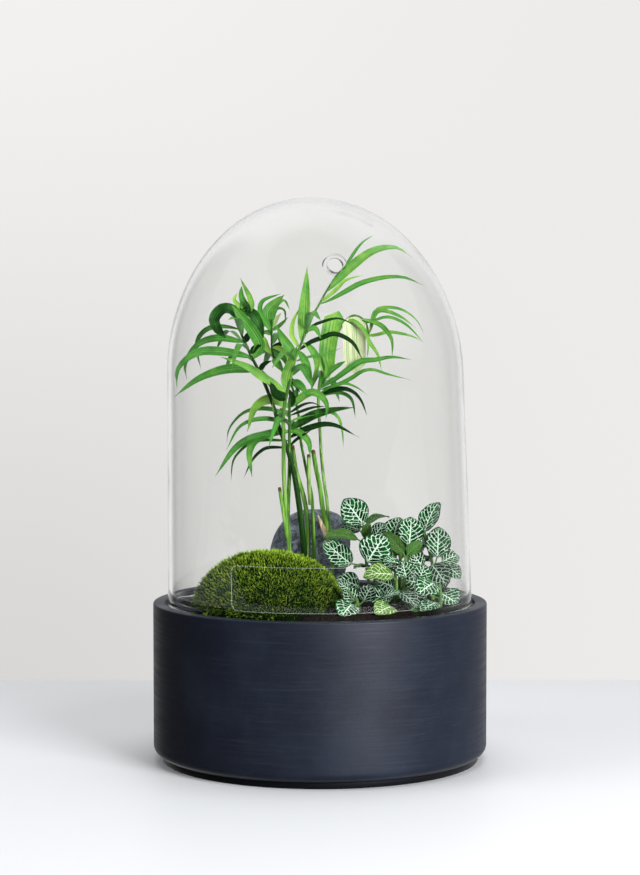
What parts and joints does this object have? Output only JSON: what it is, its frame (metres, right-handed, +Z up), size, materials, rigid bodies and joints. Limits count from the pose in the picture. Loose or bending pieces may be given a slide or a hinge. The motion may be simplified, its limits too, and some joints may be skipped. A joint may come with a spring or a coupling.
{
  "type": "glass dome plant terrarium",
  "caption": "Tall blown glass dome with a ring vent on a round dark bowl, planted with cushion moss, a river stone, parlour palm seedlings and a nerve plant",
  "frame": {"origin": "middle of the foot's underside, on the surface it stands on", "axes": "+Z up through the bowl and dome; -Y towards the side that the moss and the film face; +X towards the nerve plant"},
  "size_m": [0.24, 0.24, 0.4035],
  "materials": {
    "bowl": "matt near-black clay with a faint satin sheen and fine turning lines",
    "gravel": "dry fired-clay drainage pebbles",
    "soil": "moist dark potting soil",
    "clear_glass": "clear hand-blown glass, fire-polished edges",
    "clear_film": "clear gloss film",
    "stone": "matt river-worn surface with darker and lighter speckles",
    "moss": "matt velvety tufts, olive towards its left foot",
    "palm": "satin leaf, lighter ribs and stems",
    "nerve_leaf": "satin leaf with a net of white veins"
  },
  "bodies": {
    "root": {"bowl": "bowl", "drainage_gravel": "gravel", "soil": "soil", "glass_dome": "clear_glass", "label_film": "clear_film", "river_stone": "stone", "moss_cushion": "moss", "palm_1": "palm", "palm_2": "palm", "palm_3": "palm", "palm_4": "palm", "palm_5": "palm", "nerve_1": "nerve_leaf", "nerve_2": "nerve_leaf", "nerve_3": "nerve_leaf", "nerve_4": "nerve_leaf", "nerve_5": "nerve_leaf", "nerve_6": "nerve_leaf", "nerve_7": "nerve_leaf", "nerve_8": "nerve_leaf", "nerve_9": "nerve_leaf", "nerve_10": "nerve_leaf", "nerve_back": "nerve_leaf"}
  },
  "joints": []
}
